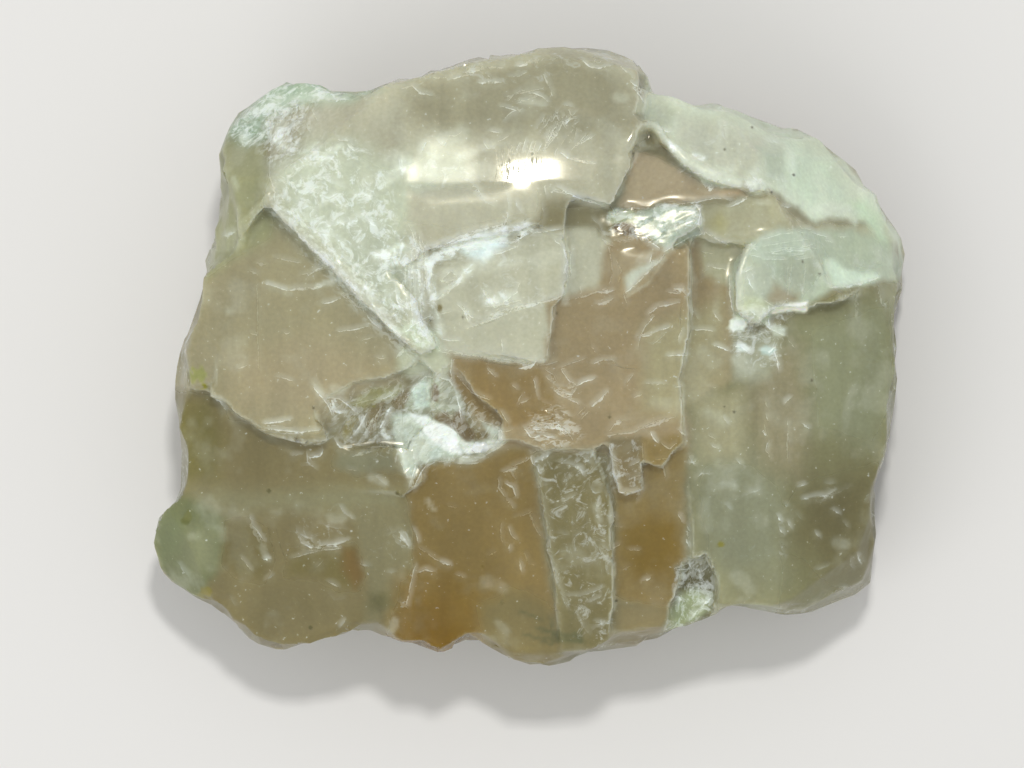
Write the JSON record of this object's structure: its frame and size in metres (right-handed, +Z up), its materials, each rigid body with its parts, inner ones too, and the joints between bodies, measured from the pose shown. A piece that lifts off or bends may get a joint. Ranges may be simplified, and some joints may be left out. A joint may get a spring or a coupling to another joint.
{
  "type": "rough rose quartz chunk",
  "caption": "Rough chunk of translucent rose quartz with flat fracture faces, ledges and a milky raised plate, lying on its flattest broken face.",
  "frame": {"origin": "under the middle of the stone's bounding box, on the surface that it rests on", "axes": "+Z up, out of the broad fracture-faced side; +X along the longest side; +Y across it, towards the high straight edge"},
  "size_m": [0.0752, 0.0612, 0.032],
  "materials": {
    "rose_quartz": "rough broken quartz, translucent, glassy on the fracture faces"
  },
  "bodies": {
    "root": {"rose_quartz": "rose_quartz"}
  },
  "joints": []
}
